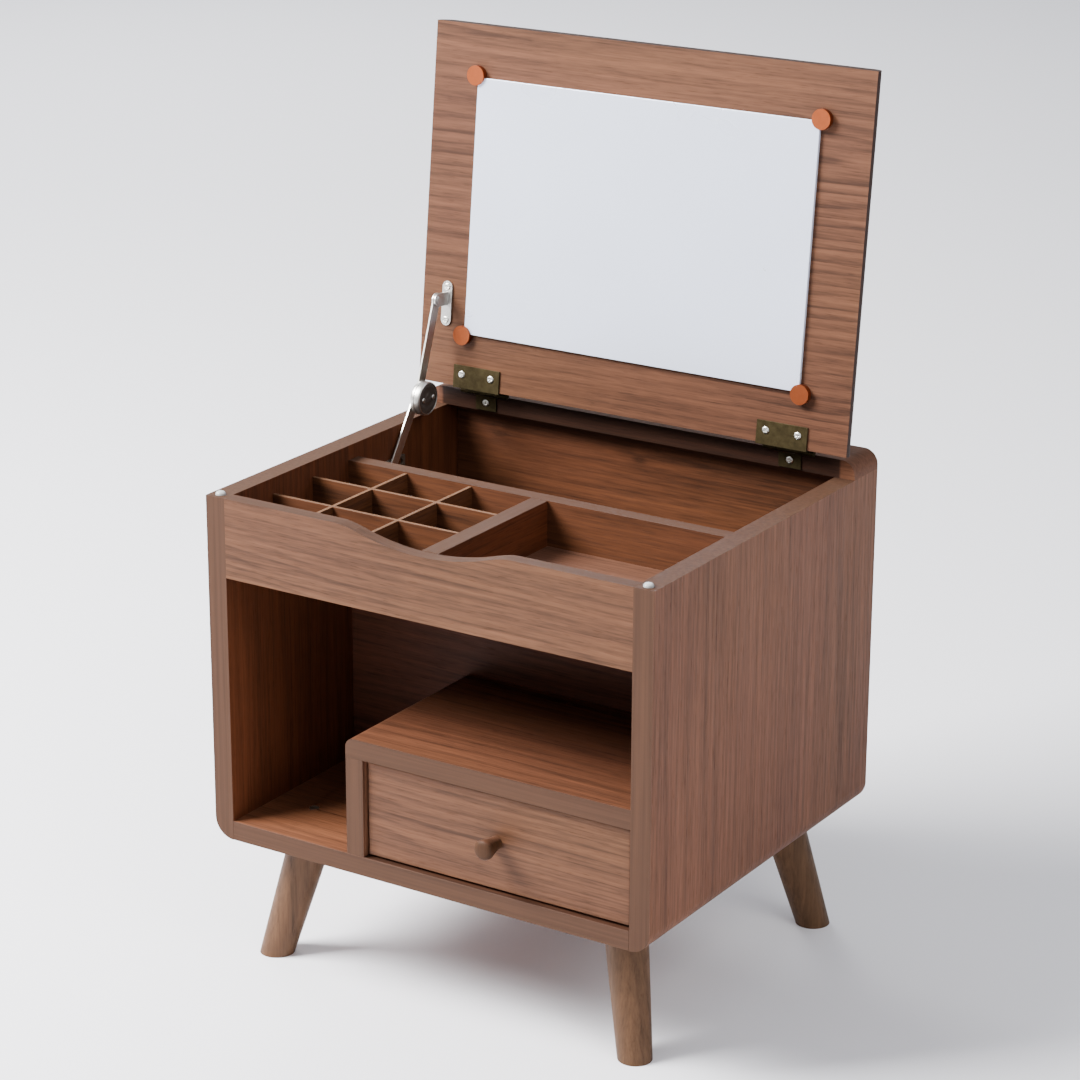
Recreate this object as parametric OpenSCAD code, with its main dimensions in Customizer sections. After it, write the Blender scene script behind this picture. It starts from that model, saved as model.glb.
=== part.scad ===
// Small dressing chest on four splayed legs: a box with a flip-up mirror lid, a divided tray,
// a deep rear compartment, an open shelf and one drawer. Millimetres, +Z up, floor at z = 0,
// origin under the middle of the bounding box.

/* [Case] */
// Outer width of the case
case_w = 400; // [360:1:440]
// Depth of the side panels, front to back
case_d = 342; // [330:1:360]
// Height of the side panels
case_h = 284; // [275:1:300]
// Thickness of the side panels
side_t = 17.5; // [17.5:0.5:18]
// Thickness of the bottom and housing boards
board_t = 16; // [15:0.5:17]
// Radius of the side panels' lower outer corners
side_r = 17; // [8:1:17]
// Distance from the front edge to the back panel's inner face
back_y = 318; // [316:1:320]
// Thickness of the back panel
back_t = 18; // [12:1:18]

/* [Tray] */
// Height of the front rail
rail_h = 64.5; // [58:0.5:70]
// Thickness of the front rail
rail_t = 12; // [11:0.5:13]
// Half width of the finger scoop in the rail
scoop_half_w = 70; // [50:1:80]
// Depth of the finger scoop
scoop_depth = 12.5; // [8:0.5:15]
// Radius of the scoop's rounded shoulders
scoop_shoulder_r = 60; // [40:5:80]
// Drop of the tray walls below the side tops
tray_drop = 12; // [10:0.5:14]
// Depth of the tray floor below the side tops
tray_depth = 49; // [46:1:50]
// Thickness of the tray floor
tray_floor_t = 15.5; // [12:0.5:16]
// Front face of the wall behind the tray
tray_wall_y = 161.5; // [155:0.5:162]
// Thickness of the wall behind the tray
tray_wall_t = 13.5; // [12:0.5:15]
// Left face of the thick centre divider
divider_x = -7.5; // [-20:0.5:10]
// Thickness of the centre divider
divider_t = 15; // [12:1:16]
// Thickness of the lapped grid strips
grid_t = 3; // [2.5:0.5:4]
// Drop of the grid strips below the side tops
grid_drop = 13; // [13:0.5:18]
// Centre lines of the grid strips that run front to back
grid_x = [-126, -64.5];
// Centre lines of the grid strips that run side to side
grid_y = [62.5, 114.5];

/* [Shelf and drawer] */
// Front face of the board behind the shelf and drawer
shelf_back_y = 163; // [160:1:166]
// Thickness of that board
shelf_back_t = 12; // [9:1:12]
// Left outer face of the drawer housing
housing_x = -72; // [-90:1:-60]
// Top of the housing below the side tops
housing_drop = 171.5; // [160:0.5:180]
// Radius of the housing's upper left edge
housing_r = 8; // [3:1:10]
// Gap above and below the drawer front
front_gap_z = 2; // [1.5:0.5:3]
// Gap at each side of the drawer front
front_gap_x = 2.5; // [1.5:0.5:3]
// Set-back of the drawer front
front_setback = 4; // [2:0.5:6]
// Thickness of the drawer front
front_t = 15; // [12:0.5:16]
// Thickness of the drawer sides and back
drawer_wall_t = 10; // [7:0.5:12]
// Height of the drawer box
drawer_box_h = 64; // [45:1:66]
// Length of the turned knob
knob_len = 20; // [15:1:24]
// Radius of the knob's head
knob_r = 8; // [8:0.5:11]

/* [Lid] */
// Length of the lid from its hinge edge
lid_len = 297; // [294:1:299]
// Thickness of the lid
lid_t = 14; // [13:0.5:15]
// Radius of the lid's outer side edges
lid_r = 11; // [8:0.5:12]
// Backward lean of the open lid, in degrees
lid_lean = 6; // [4:1:8]
// Front face of the fixed rear strip
strip_y = 303; // [302:1:304]
// Thickness of the rear strip
strip_t = 15; // [14:0.5:15]
// Radius of the rear strip's upper corners
strip_r = 12; // [8:0.5:13]
// Height of the clear bumpers under the lid
bumper_h = 3; // [2.5:0.5:3]
// Width of the mirror
mirror_w = 312; // [290:1:320]
// Height of the mirror
mirror_h = 210; // [190:1:215]
// Lower edge of the mirror above the lid's hinge edge
mirror_up = 45; // [42:0.5:47]
// Radius of the round mirror clips
clip_r = 8; // [6.5:0.5:10]

/* [Legs] */
// Height of the legs
leg_h = 107; // [85:1:130]
// Radius of a leg at the top
leg_r_top = 17.5; // [16:0.5:18]
// Radius of a leg at the floor
leg_r_foot = 13.5; // [11:0.5:15]
// Sideways splay of each foot
splay_x = 23.5; // [0:0.5:25]
// Front-to-back splay of each foot
splay_y = 22; // [0:0.5:24]
// Leg centre at the case, from the middle of the width
leg_x = 145; // [130:1:150]
// Front leg's centre at the case, from the front
leg_front = 56.5; // [50:0.5:60]
// Rear leg's centre at the case, from the back
leg_rear = 46.5; // [45:0.5:60]

/* [Hardware] */
// Distance of each hinge's middle from the middle of the width
hinge_x = 143; // [120:1:145]
// Width of the hinge leaf on the lid
leaf_w = 45; // [40:1:50]
// Thickness of the hinge leaves
leaf_t = 1.2; // [1:0.1:1.5]
// Outer radius of the hinge knuckles
knuckle_r = 2.6; // [2.4:0.1:2.8]
// Radius of the hinge pins
hinge_pin_r = 1.2; // [1:0.1:1.4]
// Length of the stay's upper arm between centres
upper_arm = 81; // [80:0.5:82]
// Angle of the upper arm from vertical with the lid open
upper_lean = 19.5; // [19:0.1:20]
// Length of the stay's lower arm between centres
lower_arm = 61; // [60:0.5:62]
// Angle of the lower arm from vertical with the lid open
lower_lean = 34; // [33.5:0.1:34.5]
// Radius of the stay's friction drum
drum_r = 14; // [10:0.5:14]

/* [Hidden] */
$fn = 64;

hw = case_w / 2;
in_x = hw - side_t;                 // inner face of each side panel
z_bot = leg_h;                      // underside of the case
z_top = leg_h + case_h;             // top of the side panels
z_floor = z_bot + board_t;          // upper face of the bottom panel
bottom_d = back_y + back_t;         // depth of the bottom panel
tray_z = z_top - tray_depth;        // upper face of the tray floor
tray_under = tray_z - tray_floor_t;
tray_top = z_top - tray_drop;
tray_wall_back = tray_wall_y + tray_wall_t;
grid_top = z_top - grid_drop;
grid_h = grid_top - tray_z;
lap_gap = 0.1;
z_housing = z_top - housing_drop;
bay_x = housing_x + board_t;        // left wall of the drawer bay
bay_top = z_housing - board_t;

front_x0 = bay_x + front_gap_x;
front_x1 = in_x - front_gap_x;
front_z0 = z_floor + front_gap_z;
front_z1 = bay_top - front_gap_z;
box_y0 = front_setback + front_t;   // back of the drawer front
box_y1 = shelf_back_y - 0.5;        // the drawer's back stops against the shelf back
box_z0 = z_floor + 0.5;
box_inset = 0.5;                    // drawer box inside the front's outline, each side
drawer_in_x0 = front_x0 + box_inset + drawer_wall_t;
drawer_in_x1 = front_x1 - box_inset - drawer_wall_t;
drawer_floor_t = 4;
drawer_floor_up = 4;
knob_x = (bay_x + in_x) / 2;
knob_z = (front_z0 + front_z1) / 2;
knob_neck_r = 5.5;
knob_screw_r = 2;
knob_screw_bite = 11;
knob_tip_y = front_setback - knob_len;

y_mid = (knob_tip_y + case_d) / 2;  // middle of the bounding box

// The hinge pins stand 0.3 mm off the rear strip, level with its upper front edge.
pin_y = strip_y - knuckle_r - 0.3;
pin_z = z_top + strip_t + 1.5;
pin_drop = pin_z - z_top - bumper_h - 0.2;  // pins above the closed lid's inner face
pin_gap = 5;                                // pins behind the lid's hinge edge
pin_clearance = 0.05;
middle_knuckle = 20;                        // width of the strip's leaf and knuckle
knuckle_gap = 0.3;
leaf_up = 18;                               // height of the lid's leaf on the inner face
hinge_screw_x = 14.2;
hinge_screw_up = 10.5;
strip_screw_z = z_top + 7.5;
screw_r = 1.3;
head_r = 3;
head_t = 1;
pilot_len = 10;

mirror_t = 3;
clip_out = 1.5;                     // clip centres outside the mirror's corners
clip_t = 5;
clip_screw_r = 1.4;
clip_screw_bite = 8;
clip_xs = [-mirror_w / 2 - clip_out, mirror_w / 2 + clip_out];
clip_ups = [mirror_up - clip_out, mirror_up + mirror_h + clip_out];

// Stay: its plates lie side by side, from the left panel towards the middle.
guide_t = 2;
plate_gap = 0.3;
plate_t = 1.5;
lower_x = guide_t + 0.6 - in_x;
upper_x = lower_x + plate_t + plate_gap;
lug_x = upper_x + plate_t + plate_gap;
drum_t = 9;
cap_t = 1;
arm_w = 9.5;
lug_out = 14.5;                     // stay pivot in front of the lid's inner face
lug_up = 71.5;                      // stay pivot above the lid's hinge edge
bracket_x = lug_x + 0.5;            // middle of the bracket's plate
bracket_w = 9.6;
bracket_screw_up = [53.7, 81.2];
lid_rivet_r = 2;
axle_r = 3;
stud_r = 2.5;
slot_r = 2.9;
slot_y = [181, 232];                // ends of the guide slot, centre to centre
guide_y = [176, 238];
guide_low = 11.5;                   // guide plate below and above the slot's middle
guide_high = 5;
guide_screw_y = [187, 227];
guide_screw_up = -7;                // guide screws from the slot's middle
flush_head_r = 3;
flush_head_t = 1;

// A point [y, z] of the open lid, from distances up the lid and out from its inner face.
function on_lid(up, out) = [
    pin_y + sin(lid_lean) * (up + pin_gap) - cos(lid_lean) * (out + pin_drop),
    pin_z + cos(lid_lean) * (up + pin_gap) + sin(lid_lean) * (out + pin_drop)
];
function below(p, length, lean) = [p[0] - length * sin(lean), p[1] - length * cos(lean)];
stay_top = on_lid(lug_up, lug_out);
stay_elbow = below(stay_top, upper_arm, upper_lean);
stay_foot = below(stay_elbow, lower_arm, lower_lean);

leg_ys = [leg_front, case_d - leg_rear];
bolt_r = 3.9;
bolt_in_leg = 32;

bumper_in = 9;                      // bumper centre from the panel's outer face
bumper_y = 7;
bumper_r = 4;
bumper_pin_r = 1.5;
bumper_seat = 4;

// Places children measured from the case's front face and the floor.
module placed() { translate([0, -y_mid, 0]) children(); }

// Places children in the open lid's frame: y out of its back, z up from its hinge edge.
module lid_frame() {
    placed() translate([0, pin_y, pin_z]) rotate([-lid_lean, 0, 0]) translate([0, -pin_drop, pin_gap])
        children();
}

// A box between two corners.
module block(a, b) { translate(a) cube(b - a); }

// A rod along X from x0, centred on [y, z].
module rod_x(x0, p, r, length) { translate([x0, p[0], p[1]]) rotate([0, 90, 0]) cylinder(h = length, r = r); }

// A rod along Y from point a.
module rod_y(a, r, length) { translate(a) rotate([-90, 0, 0]) cylinder(h = length, r = r); }

// Outline of a board with both upper corners rounded.
module round_top(w, h, r) {
    intersection() {
        union() {
            translate([-w / 2, 0]) square([w, h - r]);
            translate([r - w / 2, 0]) square([w - 2 * r, h]);
            for (x = [r - w / 2, w / 2 - r]) translate([x, h - r]) circle(r = r);
        }
        translate([-w / 2, 0]) square([w, h]);
    }
}

// Side panel's outline: outer face at x = 0, inner face at x = side_t.
module side_outline() {
    translate([0, side_r]) square([side_t, case_h - side_r]);
    translate([side_r, 0]) square([side_t - side_r, side_r]);
    intersection() {
        translate([side_r, side_r]) circle(r = side_r);
        square(side_r);
    }
}

// Left side panel; side = 1 mirrors it to the right.
module side_panel(side) {
    color([0.47, 0.33, 0.26]) placed() mirror([side == 1 ? 1 : 0, 0, 0])
        translate([-hw, case_d, z_bot]) rotate([90, 0, 0]) difference() {
            linear_extrude(case_d) side_outline();
            translate([bumper_in, case_h - bumper_seat, case_d - bumper_y]) rotate([-90, 0, 0])
                cylinder(h = bumper_seat + 1, r = bumper_pin_r);
        }
}

module left_side_panel() {
    color([0.47, 0.33, 0.26]) difference() {
        side_panel(0);
        placed() for (y = guide_screw_y)
            rod_x(-in_x - pilot_len, [y, stay_foot[1] + guide_screw_up], screw_r, pilot_len + 1);
    }
}
module right_side_panel() { side_panel(1); }

module bottom_panel() {
    color([0.52, 0.37, 0.30]) placed() difference() {
        block([-in_x, 0, z_bot], [in_x, bottom_d, z_floor]);
        for (x = [-leg_x, leg_x], y = leg_ys)
            translate([x, y, z_bot - 1]) cylinder(h = board_t + 2, r = bolt_r);
    }
}

module back_panel() {
    color([0.40, 0.24, 0.16]) placed() block([-in_x, back_y, z_floor], [in_x, bottom_d, z_top]);
}

module rear_top_strip() {
    color([0.55, 0.39, 0.31]) placed() difference() {
        translate([0, case_d, z_top]) rotate([90, 0, 0])
            linear_extrude(case_d - strip_y) round_top(case_w, strip_t, strip_r);
        for (x = [-hinge_x, hinge_x]) rod_y([x, strip_y - 1, strip_screw_z], screw_r, pilot_len + 1);
    }
}

// The scoop is an arc cut out of the rail's upper edge; both its ends run out over a rounded shoulder.
module front_rail() {
    scoop_r = (scoop_half_w * scoop_half_w + scoop_depth * scoop_depth) / (2 * scoop_depth);
    centres = scoop_r + scoop_shoulder_r;
    meeting_x = sqrt(scoop_depth * (2 * centres - scoop_depth));
    shoulder_x = meeting_x + 0.5;
    shoulder_drop = scoop_shoulder_r * (1 - cos(asin(meeting_x / centres)));
    color([0.63, 0.46, 0.38]) placed() difference() {
        block([-in_x, 0, z_top - rail_h], [in_x, rail_t, z_top]);
        translate([0, -1, z_top + scoop_r - scoop_depth]) rotate([-90, 0, 0])
            cylinder(h = rail_t + 2, r = scoop_r, $fn = 180);
        difference() {
            block([-shoulder_x, -1, z_top - shoulder_drop], [shoulder_x, rail_t + 1, z_top + 1]);
            for (side = [-1, 1])
                translate([side * shoulder_x, -2, z_top - scoop_shoulder_r]) rotate([-90, 0, 0])
                    cylinder(h = rail_t + 4, r = scoop_shoulder_r, $fn = 180);
        }
    }
}

module tray_floor() {
    color([0.50, 0.32, 0.22]) placed()
        block([-in_x, rail_t, tray_under], [in_x, shelf_back_y + shelf_back_t, tray_z]);
}

module tray_rear_wall() {
    color([0.52, 0.36, 0.28]) placed() block([-in_x, tray_wall_y, tray_z], [in_x, tray_wall_back, tray_top]);
}

module tray_centre_divider() {
    color([0.55, 0.40, 0.33]) placed()
        block([divider_x, rail_t, tray_z], [divider_x + divider_t, tray_wall_y, tray_top]);
}

// Strips that run front to back, notched from above.
module tray_grid_lengthwise() {
    color([0.66, 0.47, 0.34]) placed() difference() {
        for (x = grid_x)
            block([x - grid_t / 2, rail_t, tray_z], [x + grid_t / 2, tray_wall_y, grid_top]);
        for (y = grid_y)
            block([-in_x, y - grid_t / 2 - lap_gap, tray_z + grid_h / 2],
                [divider_x, y + grid_t / 2 + lap_gap, grid_top + 1]);
    }
}

// Strips that run side to side, notched from below.
module tray_grid_crosswise() {
    color([0.66, 0.47, 0.34]) placed() difference() {
        for (y = grid_y)
            block([-in_x, y - grid_t / 2, tray_z], [divider_x, y + grid_t / 2, grid_top]);
        for (x = grid_x)
            block([x - grid_t / 2 - lap_gap, rail_t, tray_z - 1],
                [x + grid_t / 2 + lap_gap, tray_wall_y, tray_z + grid_h / 2]);
    }
}

module shelf_back() {
    color([0.30, 0.19, 0.14]) placed()
        block([-in_x, shelf_back_y, z_floor], [in_x, shelf_back_y + shelf_back_t, tray_under]);
}

module housing_upright() {
    color([0.54, 0.40, 0.34]) placed() block([housing_x, 0, z_floor], [bay_x, shelf_back_y, bay_top]);
}

// Board over the drawer; its upper left edge is rounded.
module housing_top() {
    color([0.56, 0.38, 0.29]) placed() translate([0, shelf_back_y, 0]) rotate([90, 0, 0])
        linear_extrude(shelf_back_y) {
            translate([housing_x + housing_r, bay_top]) square([in_x - housing_x - housing_r, board_t]);
            translate([housing_x, bay_top]) square([housing_r, board_t - housing_r]);
            translate([housing_x + housing_r, z_housing - housing_r]) circle(r = housing_r);
        }
}

// One tapered leg, splayed outwards and cut level at both ends, bored for its bolt.
module leg(side, rear) {
    tilt = atan2(sqrt(splay_x * splay_x + splay_y * splay_y), leg_h);
    heading = atan2(splay_y, splay_x);
    top = [side * leg_x, leg_ys[rear ? 1 : 0], z_bot];
    turn = side > 0 ? (rear ? heading : -heading) : (rear ? 180 - heading : 180 + heading);
    slant = leg_h / cos(tilt);
    over = 8;                       // spare length at each end before the level cuts
    taper = (leg_r_top - leg_r_foot) / slant;
    color([0.62, 0.45, 0.32]) placed() difference() {
        intersection() {
            translate(top) rotate([0, 0, turn]) rotate([0, 180 - tilt, 0]) translate([0, 0, -over])
                cylinder(h = slant + 2 * over, r1 = leg_r_top + over * taper, r2 = leg_r_foot - over * taper);
            translate([top[0] - 60, top[1] - 60, 0]) cube([120, 120, leg_h]);
        }
        translate([top[0], top[1], z_bot - bolt_in_leg]) cylinder(h = bolt_in_leg + 1, r = bolt_r);
    }
}
module leg_front_left() { leg(-1, false); }
module leg_front_right() { leg(1, false); }
module leg_rear_left() { leg(-1, true); }
module leg_rear_right() { leg(1, true); }

// Upright bolts that hold the legs under the bottom panel.
module leg_bolts() {
    color([0.70, 0.70, 0.72]) placed() for (x = [-leg_x, leg_x], y = leg_ys)
        translate([x, y, z_bot - bolt_in_leg]) cylinder(h = bolt_in_leg + board_t, r = bolt_r);
}

module drawer_front() {
    color([0.63, 0.46, 0.38]) placed() difference() {
        block([front_x0, front_setback, front_z0], [front_x1, box_y0, front_z1]);
        rod_y([knob_x, front_setback - 1, knob_z], knob_screw_r, front_t + 2);
    }
}

module drawer_side(x) {
    color([0.72, 0.58, 0.42]) placed()
        block([x, box_y0, box_z0], [x + drawer_wall_t, box_y1, box_z0 + drawer_box_h]);
}
module drawer_left_side() { drawer_side(front_x0 + box_inset); }
module drawer_right_side() { drawer_side(front_x1 - box_inset - drawer_wall_t); }

module drawer_back() {
    color([0.72, 0.58, 0.42]) placed()
        block([drawer_in_x0, box_y1 - drawer_wall_t, box_z0], [drawer_in_x1, box_y1, box_z0 + drawer_box_h]);
}

module drawer_bottom() {
    color([0.76, 0.63, 0.47]) placed()
        block([drawer_in_x0, box_y0, box_z0 + drawer_floor_up],
            [drawer_in_x1, box_y1 - drawer_wall_t, box_z0 + drawer_floor_up + drawer_floor_t]);
}

// Turned knob: a short neck that swells into a rounded head.
module drawer_knob() {
    edge_r = 4;
    color([0.66, 0.47, 0.33]) placed() translate([knob_x, front_setback, knob_z]) rotate([90, 0, 0])
        difference() {
            rotate_extrude() {
                square([knob_neck_r, knob_len - edge_r]);
                translate([0, knob_len / 2 - 1]) square([knob_r - edge_r, knob_len / 2 + 1]);
                translate([knob_r - edge_r, knob_len - edge_r]) circle(r = edge_r);
                polygon([[knob_neck_r, 3], [knob_r, knob_len - edge_r], [0, knob_len - edge_r], [0, 3]]);
            }
            translate([0, 0, -1]) cylinder(h = knob_screw_bite + 1, r = knob_screw_r);
        }
}

// Pan-head screw through the drawer front into the knob.
module knob_screw() {
    color([0.75, 0.75, 0.76]) placed() {
        rod_y([knob_x, front_setback - knob_screw_bite, knob_z], knob_screw_r, knob_screw_bite + front_t);
        rod_y([knob_x, box_y0, knob_z], 2 * knob_screw_r, 2);
    }
}

module lid_board() {
    color([0.60, 0.42, 0.34]) lid_frame() difference() {
        linear_extrude(lid_len) round_top(case_w, lid_t, lid_r);
        for (side = [-1, 1], dx = [-hinge_screw_x, hinge_screw_x])
            rod_y([side * hinge_x + dx, -1, hinge_screw_up], screw_r, pilot_len + 1);
        for (up = bracket_screw_up) rod_y([bracket_x, -1, up], screw_r, pilot_len + 1);
        for (x = clip_xs, up = clip_ups) rod_y([x, -1, up], clip_screw_r, clip_screw_bite + 1);
    }
}

module mirror_plate() { block([-mirror_w / 2, -mirror_t, mirror_up], [mirror_w / 2, 0, mirror_up + mirror_h]); }
module mirror_glass() { color([0.85, 0.87, 0.90]) lid_frame() mirror_plate(); }

// Round clips that lap over the mirror's corners.
module mirror_clips() {
    color([0.78, 0.47, 0.32]) lid_frame() difference() {
        for (x = clip_xs, up = clip_ups) rod_y([x, -clip_t, up], clip_r, clip_t);
        mirror_plate();
        for (x = clip_xs, up = clip_ups) rod_y([x, -mirror_t, up], clip_screw_r, mirror_t + 1);
    }
}

module mirror_clip_screws() {
    color([0.70, 0.70, 0.72]) lid_frame() for (x = clip_xs, up = clip_ups)
        rod_y([x, -mirror_t, up], clip_screw_r, mirror_t + clip_screw_bite);
}

// Lid leaf: on the inner face, around the lid's hinge edge and out to two knuckles on the pin.
module hinge_lid_leaves() {
    span = (leaf_w - middle_knuckle) / 2 - knuckle_gap;
    web_t = 1.6;
    color([0.34, 0.30, 0.21]) lid_frame() for (side = [-1, 1]) translate([side * hinge_x, 0, 0])
        difference() {
            union() {
                block([-leaf_w / 2, -leaf_t, -leaf_t], [leaf_w / 2, 0, leaf_up]);
                block([-leaf_w / 2, -leaf_t, -leaf_t], [leaf_w / 2, pin_drop - web_t / 2, 0]);
                for (x = [-leaf_w / 2, leaf_w / 2 - span]) {
                    block([x, pin_drop - web_t, -pin_gap], [x + span, pin_drop, 0]);
                    rod_x(x, [pin_drop, -pin_gap], knuckle_r, span);
                }
            }
            rod_x(-leaf_w, [pin_drop, -pin_gap], hinge_pin_r + pin_clearance, 2 * leaf_w);
            for (dx = [-hinge_screw_x, hinge_screw_x])
                rod_y([dx, -leaf_t - 1, hinge_screw_up], screw_r, leaf_t + 2);
        }
}

// Strip leaf: a narrow tongue on the strip's front face with the middle knuckle.
module hinge_strip_leaves() {
    color([0.31, 0.27, 0.19]) placed() for (side = [-1, 1]) translate([side * hinge_x, 0, 0])
        difference() {
            union() {
                block([-middle_knuckle / 2, strip_y - leaf_t, z_top + 1], [middle_knuckle / 2, strip_y, pin_z]);
                rod_x(-middle_knuckle / 2, [pin_y, pin_z], knuckle_r, middle_knuckle);
            }
            rod_x(-leaf_w, [pin_y, pin_z], hinge_pin_r, 2 * leaf_w);
            rod_y([0, strip_y - leaf_t - 1, strip_screw_z], screw_r, leaf_t + 2);
        }
}

module hinge_pins() {
    color([0.45, 0.42, 0.34]) placed()
        for (side = [-1, 1]) rod_x(side * hinge_x - leaf_w / 2, [pin_y, pin_z], hinge_pin_r, leaf_w);
}

// A screw with a low round head; its head's underside sits at y = 0 and it points along +Y.
module wood_screw(shank) {
    rod_y([0, -head_t, 0], head_r, head_t);
    rod_y([0, 0, 0], screw_r, shank);
}

module hinge_lid_screws() {
    color([0.80, 0.80, 0.78]) lid_frame() for (side = [-1, 1], dx = [-hinge_screw_x, hinge_screw_x])
        translate([side * hinge_x + dx, -leaf_t, hinge_screw_up]) wood_screw(leaf_t + pilot_len);
}

module hinge_strip_screws() {
    color([0.80, 0.80, 0.78]) placed() for (x = [-hinge_x, hinge_x])
        translate([x, strip_y - leaf_t, strip_screw_z]) wood_screw(leaf_t + pilot_len);
}

// Flat round-ended bracket on the lid with a lug that carries the stay's upper pivot.
module stay_lid_bracket() {
    lug_w = 11;
    color([0.72, 0.72, 0.72]) lid_frame() difference() {
        union() {
            block([bracket_x - bracket_w / 2, -plate_t, bracket_screw_up[0]],
                [bracket_x + bracket_w / 2, 0, bracket_screw_up[1]]);
            for (up = bracket_screw_up) rod_y([bracket_x, -plate_t, up], bracket_w / 2, plate_t);
            block([lug_x, -lug_out, lug_up - lug_w / 2], [lug_x + plate_t, 0, lug_up + lug_w / 2]);
            rod_x(lug_x, [-lug_out, lug_up], lug_w / 2, plate_t);
        }
        rod_x(lug_x - 1, [-lug_out, lug_up], lid_rivet_r, plate_t + 2);
        for (up = bracket_screw_up) rod_y([bracket_x, -plate_t - 1, up], screw_r, plate_t + 2);
    }
}

// Rivet fixed in the lug; the upper arm turns on it under a small head.
module stay_lid_rivet() {
    color([0.80, 0.80, 0.80]) placed() {
        rod_x(upper_x - 0.2, stay_top, lid_rivet_r, lug_x + plate_t - upper_x + 0.2);
        rod_x(upper_x - 0.9, stay_top, lid_rivet_r + 1, 0.8);
        rod_x(lug_x + plate_t, stay_top, lid_rivet_r + 1, 0.8);
    }
}

// A flat arm with round ends between two points [y, z], one plate thick.
module arm(x0, a, b, end_r) {
    run = b - a;
    length = norm(run);
    translate([x0, a[0], a[1]]) rotate([atan2(run[1], run[0]), 0, 0]) union() {
        translate([0, 0, -arm_w / 2]) cube([plate_t, length, arm_w]);
        rotate([0, 90, 0]) cylinder(h = plate_t, r = end_r);
        translate([0, length, 0]) rotate([0, 90, 0]) cylinder(h = plate_t, r = end_r);
    }
}

module stay_upper_arm() {
    color([0.76, 0.76, 0.76]) placed() difference() {
        arm(upper_x, stay_top, stay_elbow, arm_w / 2 + 1);
        rod_x(upper_x - 1, stay_top, lid_rivet_r + pin_clearance, plate_t + 2);
        rod_x(upper_x - 1, stay_elbow, axle_r + pin_clearance, plate_t + 2);
    }
}

module stay_lower_arm() {
    color([0.76, 0.76, 0.76]) placed() difference() {
        arm(lower_x, stay_elbow, stay_foot, arm_w / 2 + 0.6);
        rod_x(lower_x - 1, stay_elbow, axle_r, plate_t + 2);
        rod_x(lower_x - 1, stay_foot, stud_r, plate_t + 2);
    }
}

// The axle is fixed in the lower arm and the drum, and the upper arm turns on it.
module stay_elbow_axle() {
    color([0.80, 0.80, 0.80]) placed()
        rod_x(lower_x, stay_elbow, axle_r, lug_x + drum_t - lower_x);
}

module stay_friction_drum() {
    color([0.70, 0.70, 0.70]) placed() difference() {
        rod_x(lug_x, stay_elbow, drum_r, drum_t);
        rod_x(lug_x + drum_t - cap_t, stay_elbow, drum_r - 1.5, cap_t + 1);
        rod_x(lug_x - 1, stay_elbow, axle_r, drum_t + 2);
    }
}

// Dark cap let into the drum's inner face, with two small screw heads.
module stay_drum_cap() {
    color([0.16, 0.15, 0.15]) placed() difference() {
        union() {
            rod_x(lug_x + drum_t - cap_t, stay_elbow, drum_r - 1.5, cap_t);
            for (dy = [-7, 7]) rod_x(lug_x + drum_t, stay_elbow + [dy, 0], 1.8, 0.6);
        }
        rod_x(lug_x, stay_elbow, axle_r, drum_t + 1);
    }
}

// Stud riveted flush in the lower arm's end; it rides in the guide's slot.
module stay_guide_stud() {
    color([0.80, 0.80, 0.80]) placed()
        rod_x(-in_x + 0.3, stay_foot, stud_r, lower_x + plate_t + in_x - 0.3);
}

// Slotted plate on the left side panel, counterbored for two flush screws.
module stay_guide_plate() {
    z = stay_foot[1];
    color([0.66, 0.66, 0.66]) placed() translate([-in_x, 0, 0]) difference() {
        block([0, guide_y[0], z - guide_low], [guide_t, guide_y[1], z + guide_high]);
        block([-1, slot_y[0], z - slot_r], [guide_t + 1, slot_y[1], z + slot_r]);
        for (y = slot_y) rod_x(-1, [y, z], slot_r, guide_t + 2);
        for (y = guide_screw_y) {
            rod_x(-1, [y, z + guide_screw_up], screw_r, guide_t + 2);
            rod_x(guide_t - flush_head_t, [y, z + guide_screw_up], flush_head_r, flush_head_t + 1);
        }
    }
}

module stay_guide_screws() {
    z = stay_foot[1] + guide_screw_up;
    color([0.80, 0.80, 0.78]) placed() for (y = guide_screw_y) {
        rod_x(-in_x + guide_t - flush_head_t, [y, z], flush_head_r, flush_head_t);
        rod_x(-in_x - pilot_len, [y, z], screw_r, pilot_len + guide_t - flush_head_t);
    }
}

module stay_bracket_screws() {
    color([0.80, 0.80, 0.78]) lid_frame() for (up = bracket_screw_up)
        translate([bracket_x, -plate_t, up]) wood_screw(plate_t + pilot_len);
}

// Clear round bumpers in the side panels' front corners.
module lid_bumpers() {
    color([0.92, 0.92, 0.90]) placed() for (x = [-hw + bumper_in, hw - bumper_in])
        translate([x, bumper_y, 0]) {
            translate([0, 0, z_top]) cylinder(h = bumper_h, r1 = bumper_r, r2 = bumper_r - 1);
            translate([0, 0, z_top - bumper_seat]) cylinder(h = bumper_seat + 0.1, r = bumper_pin_r);
        }
}

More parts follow.
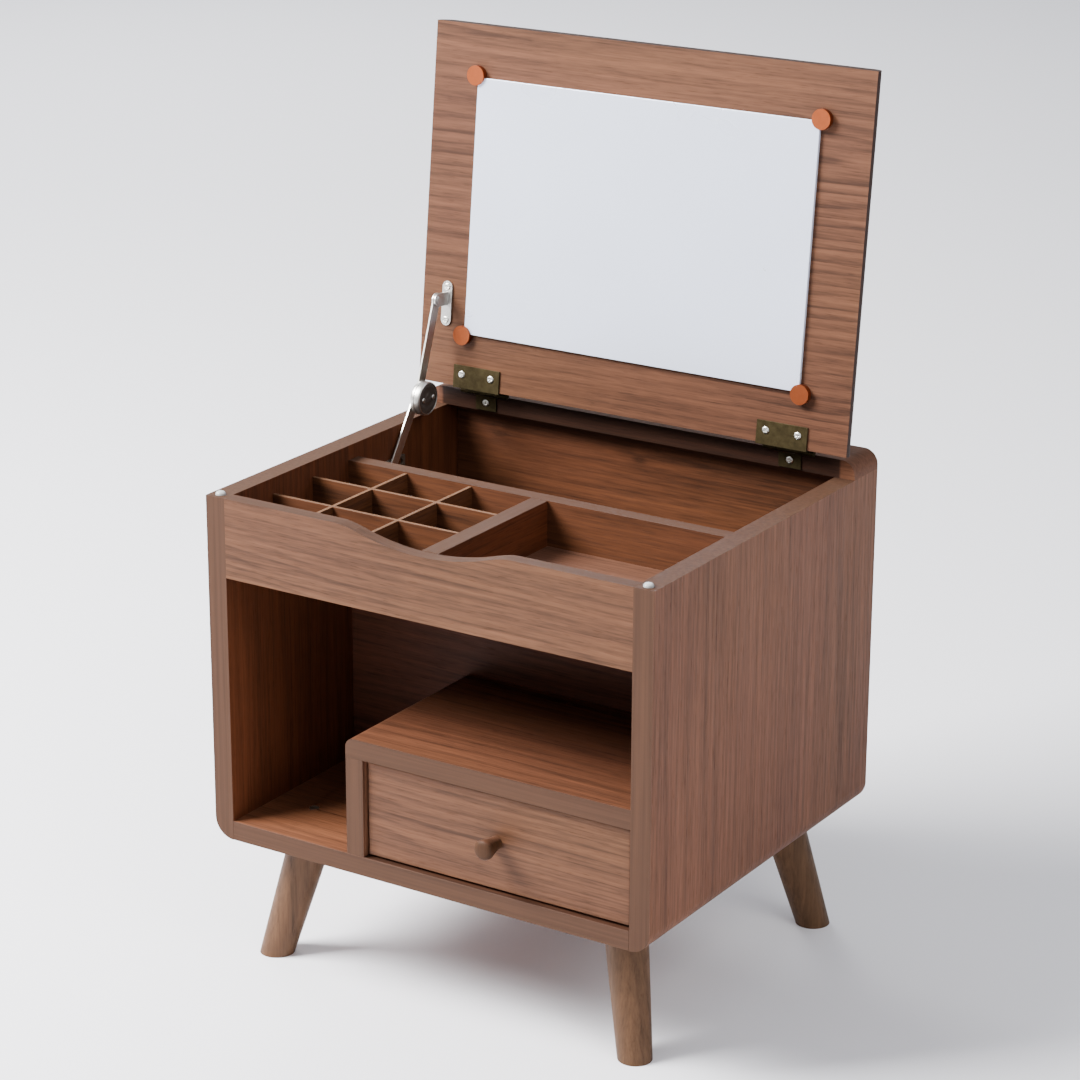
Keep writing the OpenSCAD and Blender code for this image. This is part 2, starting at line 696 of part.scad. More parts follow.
left_side_panel();
right_side_panel();
bottom_panel();
back_panel();
rear_top_strip();
front_rail();
tray_floor();
tray_rear_wall();
tray_centre_divider();
tray_grid_lengthwise();
tray_grid_crosswise();
shelf_back();
housing_upright();
housing_top();
leg_front_left();
leg_front_right();
leg_rear_left();
leg_rear_right();
leg_bolts();
drawer_front();
drawer_left_side();
drawer_right_side();
drawer_back();
drawer_bottom();
drawer_knob();
knob_screw();
lid_board();
mirror_glass();
mirror_clips();
mirror_clip_screws();
hinge_lid_leaves();
hinge_strip_leaves();
hinge_pins();
hinge_lid_screws();
hinge_strip_screws();
stay_lid_bracket();
stay_lid_rivet();
stay_upper_arm();
stay_friction_drum();
stay_drum_cap();
stay_lower_arm();
stay_elbow_axle();
stay_guide_stud();
stay_guide_plate();
stay_bracket_screws();
stay_guide_screws();
lid_bumpers();
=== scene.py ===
import math

import bmesh
import bpy
from mathutils import Matrix, Vector


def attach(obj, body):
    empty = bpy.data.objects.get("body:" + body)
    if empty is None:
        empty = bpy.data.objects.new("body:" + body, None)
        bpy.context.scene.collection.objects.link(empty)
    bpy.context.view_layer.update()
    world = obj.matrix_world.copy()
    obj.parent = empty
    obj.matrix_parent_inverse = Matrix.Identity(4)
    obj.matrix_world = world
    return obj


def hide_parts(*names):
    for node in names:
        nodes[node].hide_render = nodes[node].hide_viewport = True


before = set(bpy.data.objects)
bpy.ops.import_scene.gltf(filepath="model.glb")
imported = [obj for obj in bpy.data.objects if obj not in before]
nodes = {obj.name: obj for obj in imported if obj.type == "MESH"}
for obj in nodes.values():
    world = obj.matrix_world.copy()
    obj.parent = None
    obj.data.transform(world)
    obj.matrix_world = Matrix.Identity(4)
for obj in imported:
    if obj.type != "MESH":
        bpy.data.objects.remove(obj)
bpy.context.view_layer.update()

scene = bpy.context.scene
MM = 0.001
AXIS = {"X": 0, "Y": 1, "Z": 2}


# ---------------------------------------------------------------- node helpers
def srgb(r, g, b):
    """Linear RGBA from 0-255 display values."""
    out = []
    for v in (r, g, b):
        v = v / 255
        out.append(v / 12.92 if v <= 0.04045 else ((v + 0.055) / 1.055) ** 2.4)
    return (*out, 1.0)


def shade(colour, k):
    """The same colour, k times as bright."""
    return (*(k * c for c in colour[:3]), 1.0)


class Tree:
    """Short-hand for building one material's node tree."""

    def __init__(self, name):
        self.mat = bpy.data.materials.new(name)
        self.mat.use_nodes = True
        self.nodes = self.mat.node_tree.nodes
        self.links = self.mat.node_tree.links
        self.bsdf = self.nodes["Principled BSDF"]

    def feed(self, socket, value):
        if value is None:
            return
        if isinstance(value, bpy.types.NodeSocket):
            self.links.new(value, socket)
        else:
            socket.default_value = value

    def math(self, op, a, b=None):
        n = self.nodes.new("ShaderNodeMath")
        n.operation = op
        self.feed(n.inputs[0], a)
        self.feed(n.inputs[1], b)
        return n.outputs[0]

    def add(self, a, b):
        return self.math("ADD", a, b)

    def times(self, a, b):
        return self.math("MULTIPLY", a, b)

    def vec(self, op, a, b=None):
        n = self.nodes.new("ShaderNodeVectorMath")
        n.operation = op
        self.feed(n.inputs[0], a)
        self.feed(n.inputs[1], b)
        return n.outputs["Value"] if op == "LENGTH" else n.outputs[0]

    def split(self, v):
        n = self.nodes.new("ShaderNodeSeparateXYZ")
        self.feed(n.inputs[0], v)
        return n.outputs

    def turn_about_x(self, v, angle):
        n = self.nodes.new("ShaderNodeVectorRotate")
        n.rotation_type = "X_AXIS"
        self.feed(n.inputs["Vector"], v)
        n.inputs["Angle"].default_value = angle
        return n.outputs[0]

    def noise(self, v, scale=1.0, detail=2.0, rough=0.5):
        n = self.nodes.new("ShaderNodeTexNoise")
        self.feed(n.inputs["Vector"], v)
        n.inputs["Scale"].default_value = scale
        n.inputs["Detail"].default_value = detail
        n.inputs["Roughness"].default_value = rough
        return n.outputs[0]

    def ramp(self, fac, *stops):
        """Colour ramp from (position, colour) stops."""
        n = self.nodes.new("ShaderNodeValToRGB")
        e = n.color_ramp.elements
        while len(e) < len(stops):
            e.new(0.5)
        for el, (pos, col) in zip(e, stops):
            el.position = pos
            el.color = col
        self.feed(n.inputs[0], fac)
        return n.outputs[0]

    def mix(self, fac, a, b, mode="MIX"):
        """Mix of two colours."""
        n = self.nodes.new("ShaderNodeMix")
        n.data_type = "RGBA"
        n.blend_type = mode
        self.feed(n.inputs[0], fac)
        self.feed(n.inputs[6], a)
        self.feed(n.inputs[7], b)
        return n.outputs[2]

    def blend(self, fac, a, b):
        """Mix of two plain numbers."""
        n = self.nodes.new("ShaderNodeMix")
        self.feed(n.inputs[0], fac)
        self.feed(n.inputs[2], a)
        self.feed(n.inputs[3], b)
        return n.outputs[0]

    def range(self, v, lo, hi, a=0.0, b=1.0):
        """Maps lo..hi to a..b and stays within them."""
        n = self.nodes.new("ShaderNodeMapRange")
        self.feed(n.inputs[0], v)
        for i, x in enumerate((lo, hi, a, b)):
            n.inputs[1 + i].default_value = x
        return n.outputs[0]

    def bump(self, height, strength, distance):
        n = self.nodes.new("ShaderNodeBump")
        n.inputs["Strength"].default_value = strength
        n.inputs["Distance"].default_value = distance
        self.feed(n.inputs["Height"], height)
        return n.outputs[0]

    def place(self):
        return self.nodes.new("ShaderNodeTexCoord").outputs["Object"]

    def facing(self):
        return self.nodes.new("ShaderNodeTexCoord").outputs["Normal"]

    def set(self, **values):
        for k, v in values.items():
            self.feed(self.bsdf.inputs[k.replace("_", " ")], v)


# ---------------------------------------------------------------- wood
RING_DRIFT = 0.04        # growth lines run slowly out of the board along its grain
DARK_END, LIGHT_END = 0.44, 1.50
WOOD_SPECULAR = 0.16     # open-pored matt laminate
BUMP_HEIGHT = 0.00012    # metres


def wood(name, grain, base, seed=0.0, contrast=1.2, pith=(0.5, -0.35), ring=0.0075, gloss=0.50, lean=0.0,
         face=None, band=None, painted_shade=None, span=(-1.0, 1.0), lines=0.26, knots=()):
    """Walnut-pattern board in its own frame: growth lines, streaks, fibres, pores and slow tone drift.

    pith: where the growth lines' centre lies, on the two axes across the grain; ring: their spacing.
    lean: turns the pattern upright again on a board that leans back; lines: depth of the growth lines.
    face: axis of the two wide faces; every other face gets the plain edge band.
    painted_shade: (axis, sign, colour) for one wide face painted darker as the shade on it; span: where along
    X it does.
    knots: (x, y, z, radius) of each knot.
    """
    t = Tree(name)
    p, side = t.place(), t.facing()
    if lean:
        p, side = t.turn_about_x(p, lean), t.turn_about_x(side, lean)
    g = AXIS[grain]
    a, b = [i for i in range(3) if i != g]

    def along_grain(across, along, shift, detail=2.0, rough=0.5):
        """Noise with different frequencies across and along the grain."""
        s = [across] * 3
        s[g] = along
        offset = (seed + shift, seed * 1.7 - shift, seed * 0.6 + 2 * shift)
        return t.noise(t.vec("ADD", t.vec("MULTIPLY", p, tuple(s)), offset), 1.0, detail, rough)

    # Distance from the pith, with slow and fine waves, gives the growth lines.
    xyz = t.split(p)
    u = t.add(xyz[a], -pith[0])
    v = t.add(xyz[b], -pith[1])
    dist = t.math("SQRT", t.add(t.times(u, u), t.times(v, v)))
    dist = t.add(dist, t.times(xyz[g], RING_DRIFT))
    for wave, height in ((along_grain(6.0, 1.8, 0.0), 0.045),
                         (along_grain(45.0, 9.0, 3.1, rough=0.55), 0.0042),
                         (along_grain(85.0, 2.5, 13.3), 0.010)):
        dist = t.add(dist, t.times(wave, height))

    # Knots bend the growth lines around them and have a dark core.
    core = None
    for (kx, ky, kz, radius) in knots:
        squeeze = [1.0, 1.0, 1.0]
        squeeze[g] = 0.5
        offset = t.vec("SUBTRACT", p, (kx, ky, kz))
        near = t.vec("LENGTH", t.vec("MULTIPLY", offset, tuple(squeeze)))
        pull = t.math("POWER", t.range(near, 0.0, radius * 3.5, 1.0, 0.0), 2.0)
        dist = t.add(dist, t.times(pull, 0.006))
        spot = t.range(near, radius * 0.3, radius, 1.0, 0.0)
        core = spot if core is None else t.math("MAXIMUM", core, spot)

    saw = t.math("FRACT", t.math("DIVIDE", dist, ring))
    late = t.times(t.range(saw, 0.35, 0.86), t.range(saw, 0.90, 1.0, 1.0, 0.0))
    late = t.times(late, t.range(along_grain(14.0, 2.4, 17.0, 1.0), 0.34, 0.62, 0.15, 1.0))
    streak = t.range(along_grain(240.0, 5.0, 1.3, 3.0, 0.6), 0.34, 0.74)
    broad = t.range(along_grain(95.0, 2.2, 19.0), 0.33, 0.67)
    fibre = t.range(along_grain(700.0, 13.0, 5.7, rough=0.6), 0.3, 0.7)
    fleck = t.range(along_grain(480.0, 42.0, 29.0, rough=0.6), 0.3, 0.7)
    slow = t.range(along_grain(20.0, 2.0, 7.9), 0.3, 0.7)
    pores = t.range(along_grain(1500.0, 75.0, 9.4, 1.0), 0.62, 0.72)
    tone = t.times(late, -lines * contrast)
    for layer, weight in ((streak, 0.32), (broad, 0.18), (fibre, 0.24), (fleck, 0.22), (slow, 0.18)):
        tone = t.add(tone, t.times(layer, -weight * contrast))
    tone = t.add(tone, 0.5 + 0.57 * contrast)
    tone = t.add(tone, t.times(pores, -0.16 * contrast))

    def tinted(colour):
        return t.ramp(tone, (0.0, shade(colour, DARK_END)), (0.5, colour), (1.0, shade(colour, LIGHT_END)))

    hue = along_grain(9.0, 3.0, 11.0, 1.0)
    warm = t.mix(t.range(hue, 0.35, 0.65), (1.02, 1.0, 0.93, 1), (1.0, 0.95, 0.97, 1))
    colour = t.mix(1.0, tinted(base), warm, "MULTIPLY")
    facing = t.split(side)
    # Painted shade: one wide face, within the span along X, takes a darker colour for the shade it stands in.
    if painted_shade:
        axis, sign, shade_colour = painted_shade
        soft = 0.002
        inside = t.times(t.range(xyz[0], span[0] - soft, span[0]),
                         t.range(xyz[0], span[1], span[1] + soft, 1.0, 0.0))
        turned_in = t.range(t.times(facing[AXIS[axis]], float(sign)), 0.6, 0.8)
        colour = t.mix(t.times(turned_in, inside), colour, tinted(shade_colour))
    if core is not None:
        colour = t.mix(t.times(core, 0.60), colour, shade(base, 0.25))
    rough = t.add(t.add(gloss, t.times(fibre, 0.10)), t.times(pores, 0.20))
    height = t.add(t.add(t.times(fibre, 0.6), t.times(pores, -1.0)), t.times(streak, 0.4))
    if face:
        edge = t.range(t.math("ABSOLUTE", facing[AXIS[face]]), 0.62, 0.80, 1.0, 0.0)
        grit = t.noise(t.vec("MULTIPLY", p, (300.0, 300.0, 300.0)), 1.0, 3.0, 0.6)
        trail = t.range(along_grain(340.0, 5.0, 23.0, 3.0, 0.6), 0.32, 0.68)
        plain = t.mix(t.blend(0.72, grit, trail), shade(band, 0.72), shade(band, 1.30))
        colour = t.mix(edge, colour, plain)
        rough = t.blend(edge, rough, t.add(0.62, t.times(grit, 0.12)))
        height = t.blend(edge, height, t.times(grit, 0.5))
    t.set(Base_Color=colour, Roughness=rough, Normal=t.bump(height, 0.20, BUMP_HEIGHT))
    t.bsdf.inputs["Specular IOR Level"].default_value = WOOD_SPECULAR
    return t.mat


# ---------------------------------------------------------------- metal, glass, plastic
def metal(name, colour, rough, brush="X", dirt=0.25, worn=0.55):
    """Plated metal with fine brushing, faint smudges and darker patches."""
    t = Tree(name)
    p = t.place()
    s = [2600.0] * 3
    s[AXIS[brush]] = 160.0
    brushed = t.noise(t.vec("MULTIPLY", p, tuple(s)))
    smudge = t.noise(p, 170.0, 3.0, 0.6)
    patches = t.mix(t.range(smudge, 0.35, 0.70), colour, shade(colour, worn))
    r = t.add(t.add(rough, t.times(brushed, 0.12)), t.times(smudge, 0.14))
    t.set(Base_Color=t.mix(dirt, colour, patches), Roughness=r, Normal=t.bump(brushed, 0.10, 0.00004))
    t.bsdf.inputs["Metallic"].default_value = 1.0
    return t.mat


def mirror_silver():
    t = Tree("mirror_silver")
    haze = t.noise(t.place(), 9.0, 3.0, 0.6)
    # Painted reflection: the glass is only partly metallic, and its pale, slightly blue colour stands in for
    # the bright studio it reflects.
    t.set(Base_Color=t.mix(haze, srgb(229, 236, 254), srgb(224, 232, 252)),
          Roughness=t.range(haze, 0.3, 0.7, 0.26, 0.32))
    t.bsdf.inputs["Metallic"].default_value = 0.45
    return t.mat


def black_plastic():
    t = Tree("black_cap")
    grit = t.noise(t.place(), 1400.0, 2.0, 0.6)
    t.set(Base_Color=t.mix(grit, srgb(44, 38, 35), srgb(66, 58, 52)),
          Roughness=t.range(grit, 0.3, 0.7, 0.30, 0.46), Normal=t.bump(grit, 0.2, 0.00005))
    return t.mat


def clear_rubber():
    t = Tree("clear_rubber")
    milk = t.noise(t.place(), 300.0)
    t.set(Base_Color=t.mix(milk, srgb(240, 240, 238), srgb(226, 228, 228)),
          Roughness=t.range(milk, 0.3, 0.7, 0.10, 0.22))
    t.bsdf.inputs["Transmission Weight"].default_value = 0.55
    t.bsdf.inputs["IOR"].default_value = 1.45
    return t.mat


# ---------------------------------------------------------------- materials
SIDE = srgb(94, 61, 44)         # outer face of the right side, which stands in the shade; painted lighter than the left side's laminate to lift that shade
BAND = srgb(64, 42, 29)         # plain band on the board edges
INSIDE_SHADE = srgb(80, 41, 22)         # laminate inside the case, painted darker and redder as the shade inside it
SHELF_WALL_SHADE = srgb(74, 39, 21)      # left wall inside the shelf, painted darkest as the shade in the shelf
THIN = srgb(74, 44, 26)         # thin tray strips
THIN_EDGE = srgb(92, 64, 44)
PALE = srgb(150, 114, 78)       # inside of the drawer
LID_LEAN = math.radians(6)

mats = {
    # The lid's edge band is painted dark brown as the shade on its edges.
    "lid": wood("walnut_lid", "X", srgb(82, 53, 37), 3.1, pith=(0.10, 0.655), ring=0.0085, lean=LID_LEAN,
                face="Y", band=srgb(44, 29, 24), lines=0.46),
    "rail": wood("walnut_rail", "X", srgb(81, 53, 35), 7.7, 1.3, pith=(-0.21, 0.30), ring=0.0062,
                 face="Y", band=BAND),
    "front": wood("walnut_front", "X", srgb(84, 55, 37), 12.4, pith=(-0.20, 0.10), ring=0.0065,
                  face="Y", band=BAND),
    # Each side's inner face is painted darker as the shade inside the case.
    "side_left": wood("walnut_side_left", "Z", srgb(80, 52, 37), 20.2, 1.1, pith=(-0.24, 0.08), ring=0.007,
                      face="X", band=BAND, painted_shade=("X", 1, SHELF_WALL_SHADE), lines=0.12),
    "side_right": wood("walnut_side_right", "Z", SIDE, 22.9, 1.1, pith=(0.235, 0.10), ring=0.007,
                       face="X", band=BAND, painted_shade=("X", -1, INSIDE_SHADE), lines=0.12),
    # The strip's front face, under the lid, is painted dark as the lid's shade; its rounded ends keep the
    # lighter tone.
    "strip": wood("walnut_strip", "X", SIDE, 26.0, pith=(0.5, 0.1), face="Y", band=srgb(86, 56, 41),
                  painted_shade=("Y", -1, srgb(48, 28, 19)), span=(-0.186, 0.186)),
    # The bottom's top face in the drawer bay is painted dark as the shade on the ledge under the drawer front.
    "bottom": wood("walnut_bottom", "X", srgb(90, 56, 38), 31.3, pith=(0.1, 0.08), face="Z", band=BAND,
                   painted_shade=("Z", 1, srgb(54, 32, 21)), span=(-0.056, 1.0)),
    # The shelf floor is painted darker and redder than the outer laminate as the shade inside the shelf.
    "housing": wood("walnut_housing", "X", srgb(76, 46, 31), 36.8, pith=(-0.1, 0.18), face="Z", band=BAND),
    "upright": wood("walnut_upright", "Z", SIDE, 41.1, pith=(0.3, 0.3), face="X", band=BAND),
    # The tray's rear wall and centre divider are painted darker and redder as the shade inside the case.
    "in_x": wood("inner_x", "X", srgb(75, 44, 27), 45.9, pith=(0.1, 0.30), face="Y", band=BAND),
    "in_y": wood("inner_y", "Y", INSIDE_SHADE, 51.2, pith=(0.1, 0.30), face="X", band=BAND),
    "in_z": wood("inner_z", "X", srgb(84, 56, 42), 48.2, pith=(-0.1, 0.30), face="Z", band=BAND),
    "well": wood("inner_well", "X", srgb(81, 48, 30), 57.0, pith=(0.20, 0.36), ring=0.010, face="Y", band=BAND,
                 knots=((-0.140, 0.155, 0.369, 0.004), (-0.004, 0.155, 0.369, 0.0045))),
    # The shelf back is painted very dark as the shade at the back of the shelf.
    "shelf": wood("inner_shelf", "X", srgb(66, 36, 22), 59.5, pith=(0.04, 0.20), face="Y", band=BAND),
    "strip_x": wood("thin_strip_x", "X", THIN, 61.0, pith=(0.1, 0.3), face="Y", band=THIN_EDGE),
    "strip_y": wood("thin_strip_y", "Y", THIN, 62.0, pith=(0.1, 0.3), face="X", band=THIN_EDGE),
    "leg": wood("turned_leg", "Z", srgb(84, 61, 43), 63.0, 0.8, pith=(0.3, 0.2), ring=0.011, gloss=0.46),
    # The knob's sides are painted dark brown as shade; its front face keeps the base tone.
    "knob": wood("turned_knob", "Y", srgb(70, 45, 31), 68.0, 0.7, pith=(0.05, 0.15), ring=0.004,
                 face="Y", band=srgb(58, 35, 18)),
    "box": wood("drawer_board", "Y", PALE, 72.0, 0.7, ring=0.012),
    "box_back": wood("drawer_back_board", "X", PALE, 75.0, 0.7, ring=0.012),
    "copper": metal("copper_plate", srgb(146, 77, 46), 0.34, "Z", 0.2),
    "bronze": metal("dark_bronze", srgb(72, 63, 43), 0.46, "X", 0.7, worn=0.4),
    "nickel": metal("nickel", srgb(205, 203, 198), 0.24, "Z", 0.3),
    "guide": metal("dull_steel", srgb(120, 112, 100), 0.45, "Y", 0.5),
    "zinc": metal("zinc", srgb(226, 225, 218), 0.24, "X", 0.2),
    "mirror": mirror_silver(),
    "cap": black_plastic(),
    "clear": clear_rubber(),
}

# Material: CAD nodes that keep their shape and get it.
FINISH = {
    "side_left": ["left_side_panel"],
    "side_right": ["right_side_panel"],
    "bottom": ["bottom_panel"],
    "well": ["back_panel"],
    "strip": ["rear_top_strip"],
    "rail": ["front_rail"],
    "in_x": ["tray_rear_wall"],
    "in_y": ["tray_centre_divider"],
    "in_z": ["tray_floor"],
    "strip_x": ["tray_grid_crosswise"],
    "strip_y": ["tray_grid_lengthwise"],
    "shelf": ["shelf_back"],
    "upright": ["housing_upright"],
    "housing": ["housing_top"],
    "leg": ["leg_front_left", "leg_front_right", "leg_rear_left", "leg_rear_right"],
    "front": ["drawer_front"],
    "box": ["drawer_left_side", "drawer_right_side", "drawer_bottom"],
    "box_back": ["drawer_back"],
    "lid": ["lid_board"],
    "mirror": ["mirror_glass"],
    "copper": ["mirror_clips"],
    "bronze": ["hinge_lid_leaves", "hinge_strip_leaves", "hinge_pins"],
    "nickel": ["stay_lid_bracket", "stay_lid_rivet", "stay_upper_arm", "stay_lower_arm",
               "stay_elbow_axle", "stay_guide_stud"],
    "guide": ["stay_guide_plate", "stay_guide_screws"],
    "zinc": ["leg_bolts", "knob_screw", "mirror_clip_screws"],
}
# Width of the soft edge on those nodes, in millimetres.
EDGE = {"side_left": 0.7, "side_right": 0.7, "bottom": 0.5, "well": 0.4, "strip": 0.7, "rail": 0.7,
        "in_x": 0.5, "in_y": 0.5, "in_z": 0.4, "strip_x": 0.3, "strip_y": 0.3, "shelf": 0.4,
        "upright": 0.5, "housing": 0.6, "leg": 0.9, "front": 0.7, "box": 0.4, "box_back": 0.4, "lid": 0.7,
        "mirror": 0.5, "copper": 0.8, "bronze": 0.2, "nickel": 0.2, "guide": 0.2}

for key, names in FINISH.items():
    for n in names:
        o = nodes[n]
        o.data.materials.clear()
        o.data.materials.append(mats[key])
        if key in EDGE:
            weld = o.modifiers.new("weld", "WELD")
            weld.merge_threshold = 0.00001
            bevel = o.modifiers.new("soft_edges", "BEVEL")
            bevel.width = EDGE[key] * MM
            bevel.segments = 3
            bevel.limit_method = "ANGLE"
            bevel.angle_limit = math.radians(50)
            flat = o.modifiers.new("flat_faces", "WEIGHTED_NORMAL")
            flat.keep_sharp = True
            flat.weight = 100


# ---------------------------------------------------------------- detail pieces
def add_piece(name, bm, key, place, body, slot, *stands_for):
    """One finished piece: smooth mesh, material, body and the CAD nodes it stands for; the slot argument is
    not used.
    """
    bmesh.ops.recalc_face_normals(bm, faces=bm.faces)
    for f in bm.faces:
        f.smooth = True
    mesh = bpy.data.meshes.new(name)
    bm.to_mesh(mesh)
    bm.free()
    mesh.set_sharp_from_angle(angle=math.radians(40))
    mesh.materials.append(mats[key])
    o = bpy.data.objects.new(name, mesh)
    scene.collection.objects.link(o)
    o.matrix_world = place
    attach(o, body)
    if stands_for:
        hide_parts(*stands_for)


def turn(bm, profile, move=Matrix(), segments=64, shape=None):
    """Revolve (radius, height) points in mm about local Z; shape may move each point."""
    rings = []
    for r, h in profile:
        ring = []
        for i in range(1 if r == 0 else segments):
            w = 2 * math.pi * i / segments
            p = Vector((r * math.cos(w), r * math.sin(w), h))
            if shape:
                p = shape(p)
            ring.append(bm.verts.new(move @ (p * MM)))
        rings.append(ring)
    for lower, upper in zip(rings, rings[1:]):
        for i in range(segments):
            j = (i + 1) % segments
            corners = [lower[i % len(lower)], lower[j % len(lower)],
                       upper[j % len(upper)], upper[i % len(upper)]]
            unique = list(dict.fromkeys(corners))
            if len(unique) > 2:
                bm.faces.new(unique)


def arc(cr, ch, r, a0, a1, steps):
    """Points of an arc about (cr, ch) in a turning profile, angles in degrees from the radius."""
    angles = [math.radians(a0 + (a1 - a0) * i / steps) for i in range(steps + 1)]
    return [(cr + r * math.cos(w), ch + r * math.sin(w)) for w in angles]


def cross_recess(head_r, depth):
    """Presses a cross-shaped driver recess into points near the top of a screw head."""
    arm, reach = 0.17 * head_r, 0.62 * head_r

    def press(p):
        flat = min(abs(p.x), abs(p.y))
        far = max(abs(p.x), abs(p.y))
        if p.z > 0.2 and flat < arm * 1.35 and far < reach:
            k = min(1.0, (arm * 1.35 - flat) / (arm * 0.5), (reach - far) / (0.12 * head_r))
            p.z -= depth * k
        return p
    return press


HEAD_R, HEAD_T = 3.0, 1.0        # pan-head screw, millimetres
SHANK_R, SHANK = 1.3, 9.0
HEAD_STEPS = (0.97, 0.92, 0.85, 0.76, 0.68, 0.62, 0.56, 0.50, 0.44, 0.38, 0.32, 0.26, 0.21, 0.16, 0.11, 0.06)


def screws(name, places, body, node):
    """Pan-head screws with a cross recess; each place has local Z out of the surface."""
    bm = bmesh.new()
    profile = [(0, -SHANK), (SHANK_R, -SHANK), (SHANK_R, 0), (HEAD_R, 0), (HEAD_R, 0.25 * HEAD_T)]
    profile += [(HEAD_R * k, HEAD_T * (0.25 + 0.75 * math.sqrt(1 - k ** 3))) for k in HEAD_STEPS]
    profile += [(0, HEAD_T)]
    for i, place in enumerate(places):
        spin = Matrix.Rotation(0.55 + 0.9 * i, 4, "Z")
        turn(bm, profile, place @ spin, 72, cross_recess(HEAD_R, 0.62 * HEAD_T))
    add_piece(name, bm, "zinc", Matrix(), body, "zinc_steel", node)


def at(x, y, z, turned=Matrix()):
    """A place in millimetres."""
    return Matrix.Translation((x * MM, y * MM, z * MM)) @ turned


OUT_OF_FRONT = Matrix.Rotation(math.pi / 2, 4, "X")       # local Z points to -Y
OUT_TO_RIGHT = Matrix.Rotation(math.pi / 2, 4, "Y")       # local Z points to +X
# The open lid's frame: Y out of its back, Z up from its hinge edge.
LID = at(0, 137.1, 407.5) @ Matrix.Rotation(-LID_LEAN, 4, "X") @ at(0, -13.3, 5)

HINGE_X = 143
LEAF = 1.2               # thickness of the hinge leaf under the screw heads
screws("hinge_lid_screw_heads",
       [LID @ at(s * HINGE_X + d, -LEAF, 10.5, OUT_OF_FRONT) for s in (-1, 1) for d in (-14.2, 14.2)],
       "lid", "hinge_lid_screws")
screws("hinge_strip_screw_heads", [at(x, 138.8, 398.5, OUT_OF_FRONT) for x in (-HINGE_X, HINGE_X)],
       "case", "hinge_strip_screws")
screws("stay_bracket_screw_heads", [LID @ at(-175.8, -1.5, up, OUT_OF_FRONT) for up in (53.7, 81.2)],
       "lid", "stay_bracket_screws")

# Knob: short neck swelling into a rounded head.
bm = bmesh.new()
turn(bm, [(0, 0), (5.5, 0), (5.4, 1.5), (5.3, 3), (5.5, 5), (6.1, 7.5), (6.8, 10), (7.4, 12.5), (7.9, 14.5)]
     + arc(4.5, 16.2, 3.5, 0, 80, 10) + [(4.0, 19.9), (2.0, 20), (0, 20)])
add_piece("knob_turning", bm, "knob", at(63.25, -159, 163.25, OUT_OF_FRONT), "drawer", "drawer_wood",
          "drawer_knob")

# Friction drum with chamfered rims and a shallow groove, and its dark cap with two screw heads.
DRUM = at(-176.3, 90.41, 410.14, OUT_TO_RIGHT)
bm = bmesh.new()
turn(bm, [(0, 0), (12.6, 0), (13.6, 0.4), (14, 1.2), (14, 3.2), (13.6, 3.5), (13.6, 4.1), (14, 4.4),
          (14, 7.8), (13.7, 8.6), (13.1, 9), (12.6, 9), (12.4, 8.7), (12.4, 8.1), (0, 8.1)])
add_piece("drum_shell", bm, "nickel", DRUM, "stay_lower", "nickel_steel", "stay_friction_drum")
bm = bmesh.new()
turn(bm, [(0, 8.1), (12.2, 8.1), (12.2, 8.7), (11.8, 9.0), (8.2, 9.0), (7.8, 8.8), (4.4, 8.8),
          (4.0, 9.1), (2.2, 9.3), (0, 9.3)])
add_piece("drum_cover", bm, "cap", DRUM, "stay_lower", "black_plastic", "stay_drum_cap")
bm = bmesh.new()
for dy in (-7, 7):
    turn(bm, [(0, 8.2), (2.0, 8.2), (2.0, 9.2)] + arc(1.5, 9.2, 0.5, 0, 90, 4) + [(0.5, 9.75), (0, 9.75)],
         at(0, dy, 0), 32)
add_piece("drum_cover_screws", bm, "zinc", DRUM, "stay_lower", "black_plastic")

# Clear domed bumpers on the front corners of the sides.
bm = bmesh.new()
for x in (-191, 191):
    turn(bm, [(0, -4), (1.5, -4), (1.5, 0), (4.0, 0), (4.0, 0.6), (3.9, 1.2), (3.6, 1.8), (3.1, 2.3),
              (2.3, 2.7), (1.2, 2.95), (0, 3.0)], at(x, -156, 391), 48)
add_piece("bumper_domes", bm, "clear", Matrix(), "case", "clear_rubber", "lid_bumpers")

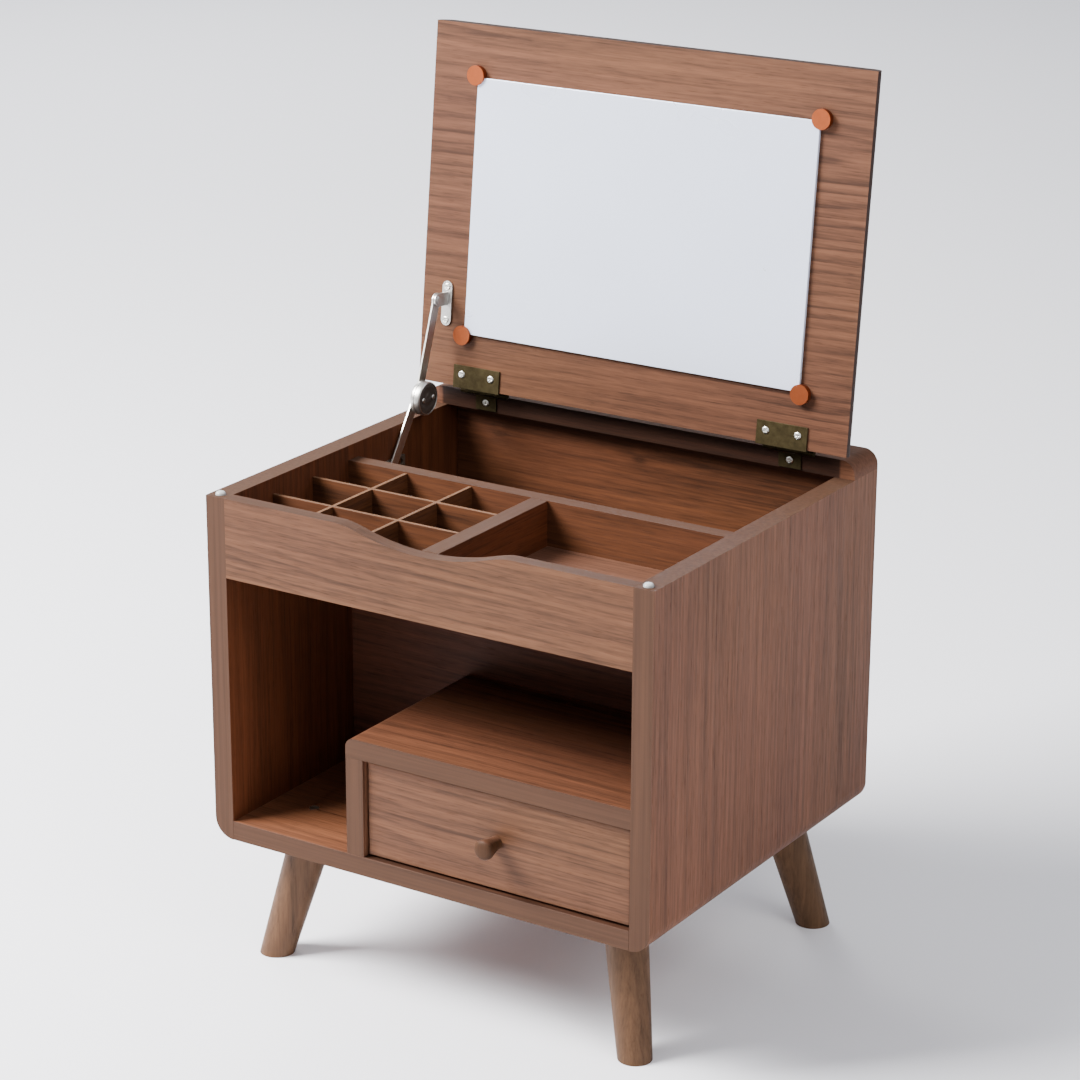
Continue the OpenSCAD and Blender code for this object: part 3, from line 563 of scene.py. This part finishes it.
# ---------------------------------------------------------------- studio
FLOOR = 14               # half its side, metres
floor_mesh = bpy.data.meshes.new("floor")
floor_mesh.from_pydata([(-FLOOR, -FLOOR, 0), (FLOOR, -FLOOR, 0), (FLOOR, FLOOR, 0), (-FLOOR, FLOOR, 0)],
                       [], [(0, 1, 2, 3)])
floor = bpy.data.objects.new("floor", floor_mesh)
scene.collection.objects.link(floor)
paper = Tree("studio_paper")
paper.set(Base_Color=srgb(240, 240, 246), Roughness=0.7)
floor_mesh.materials.append(paper.mat)

world = bpy.data.worlds.new("studio")
scene.world = world
world.use_nodes = True
sky = world.node_tree.nodes["Background"]
sky.inputs["Color"].default_value = (0.93, 0.95, 1.0, 1)
sky.inputs["Strength"].default_value = 0.66


def area_light(name, place, target, size, power, colour):
    data = bpy.data.lights.new(name, "AREA")
    data.size = size
    data.energy = power
    data.color = colour
    o = bpy.data.objects.new(name, data)
    scene.collection.objects.link(o)
    o.location = place
    o.rotation_mode = "QUATERNION"
    o.rotation_quaternion = (Vector(target) - Vector(place)).to_track_quat("-Z", "Y")


area_light("key", (-1.7, -1.25, 2.2), (-0.3, -0.1, 0), 1.4, 398, (1.0, 0.99, 0.97))
area_light("fill", (2.7, -1.0, 2.6), (0.3, -0.1, 0.1), 1.8, 58, (1.0, 0.99, 0.97))
area_light("back", (-3.0, 2.6, 2.4), (-2.4, 2.6, 0), 1.6, 90, (0.98, 0.99, 1.0))

# ---------------------------------------------------------------- camera
EYE = Vector((1.3125, -2.0494, 1.1794))
AZIMUTH, ELEVATION, ROLL = (math.radians(w) for w in (32.644, 18.922, 0.178))
cam_data = bpy.data.cameras.new("camera")
cam_data.sensor_width = 36
cam_data.lens = 110.16
cam = bpy.data.objects.new("camera", cam_data)
scene.collection.objects.link(cam)
back = Vector((math.sin(AZIMUTH) * math.cos(ELEVATION), -math.cos(AZIMUTH) * math.cos(ELEVATION),
               math.sin(ELEVATION)))
level = Vector((0, 0, 1)).cross(back).normalized()
up = back.cross(level)
right = level * math.cos(ROLL) + up * math.sin(ROLL)
top = up * math.cos(ROLL) - level * math.sin(ROLL)
cam.matrix_world = Matrix.Translation(EYE) @ Matrix((right, top, back)).transposed().to_4x4()
scene.camera = cam
